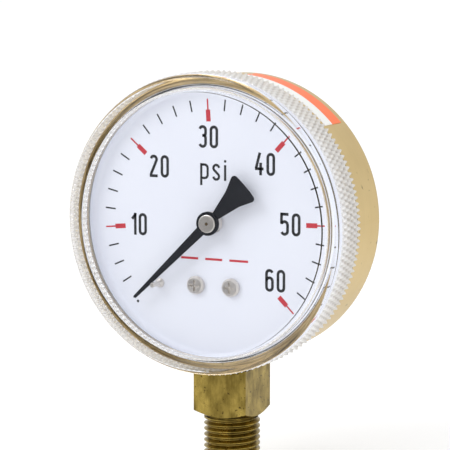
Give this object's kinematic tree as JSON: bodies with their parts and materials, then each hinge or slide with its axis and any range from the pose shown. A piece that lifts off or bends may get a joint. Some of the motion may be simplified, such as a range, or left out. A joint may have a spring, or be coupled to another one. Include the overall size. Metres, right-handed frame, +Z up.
{
  "type": "pressure gauge",
  "caption": "Round dial pressure gauge with a Bourdon tube, brass case, clear knurled screw-on lens and a bottom threaded stem with wrench flats.",
  "frame": {"origin": "centre of the lower end of the threaded stem, on the stem's axis", "axes": "+Z up the stem towards the dial, -Y out of the dial towards the reader, +X to the reader's right"},
  "size_m": [0.072, 0.0299, 0.098],
  "materials": {
    "case_brass": "brushed satin",
    "stem_brass": "as machined",
    "movement_brass": "stamped, semi-bright",
    "tube_bronze": "drawn phosphor bronze",
    "screw_steel": "zinc plated",
    "arbor_steel": "ground",
    "bright_nickel": "bright nickel plated",
    "dial_white": "satin white enamel",
    "pointer_black": "satin black",
    "clear_polycarbonate": "clear, polished",
    "black_rubber": "matt",
    "label_film": "printed film, no lettering"
  },
  "bodies": {
    "gauge_body": {"case": "case_brass", "case_label": "label_film", "case_screws": "screw_steel", "relief_plug": "black_rubber", "socket_stem": "stem_brass", "bourdon_tube": "tube_bronze", "movement_back_plate": "movement_brass", "movement_front_plate": "movement_brass", "movement_pillars": "movement_brass", "movement_plate_screws": "screw_steel", "movement_mount_screws": "screw_steel", "hairspring": "tube_bronze", "hairspring_stud": "movement_brass", "dial": "dial_white", "dial_screws": "bright_nickel", "stop_pin": "bright_nickel"},
    "pointer_assembly": {"pointer": "pointer_black", "pointer_bush": "bright_nickel", "pointer_cap": "bright_nickel", "pinion_arbor": "arbor_steel", "hairspring_collet": "movement_brass"},
    "sector": {"sector_gear": "movement_brass", "sector_arbor": "arbor_steel", "link_sector_screw": "screw_steel"},
    "link": {"link": "movement_brass"},
    "tube_tip": {"tube_end_piece": "movement_brass", "link_tip_pin": "screw_steel"},
    "gasket_ring": {"lens_gasket": "black_rubber"},
    "lens": {"lens": "clear_polycarbonate"}
  },
  "joints": [
    {"name": "pointer_turn", "type": "hinge", "parent": "gauge_body", "child": "pointer_assembly", "pos_m": [0, -0.0093, 0.062], "axis": [0, 1, 0], "range_deg": [0, 270], "stiffness_Nm_per_rad": 0.0003, "deforming": ["hairspring"]},
    {"name": "sector_turn", "type": "hinge", "parent": "gauge_body", "child": "sector", "pos_m": [0, -0.0043, 0.0466], "axis": [0, 1, 0], "range_deg": [-27.5, 0.5]},
    {"name": "tube_tip_swing", "type": "hinge", "parent": "gauge_body", "child": "tube_tip", "pos_m": [-0.0045, 0.0032, 0.0722], "axis": [0, 1, 0], "range_deg": [-7, 0.2], "deforming": ["bourdon_tube"]},
    {"name": "link_pivot", "type": "hinge", "parent": "sector", "child": "link", "pos_m": [0.00386, -0.0033, 0.04076], "axis": [0, 1, 0], "range_deg": [-0.5, 27.5]},
    {"name": "lens_lift", "type": "slide", "parent": "gauge_body", "child": "gasket_ring", "axis": [0, -1, 0], "range_m": [0, 0.0046]},
    {"name": "lens_unscrew", "type": "hinge", "parent": "gasket_ring", "child": "lens", "pos_m": [0, -0.0183, 0.062], "axis": [0, -1, 0], "range_deg": [0, 1080]}
  ],
  "couplings": [
    {"joint": "sector_turn", "follows": "pointer_turn", "ratio": -0.1},
    {"joint": "link_pivot", "follows": "pointer_turn", "ratio": 0.1},
    {"joint": "tube_tip_swing", "follows": "pointer_turn", "ratio": -0.025},
    {"joint": "lens_lift", "follows": "lens_unscrew", "m_per_rad": 0.00023873}
  ]
}
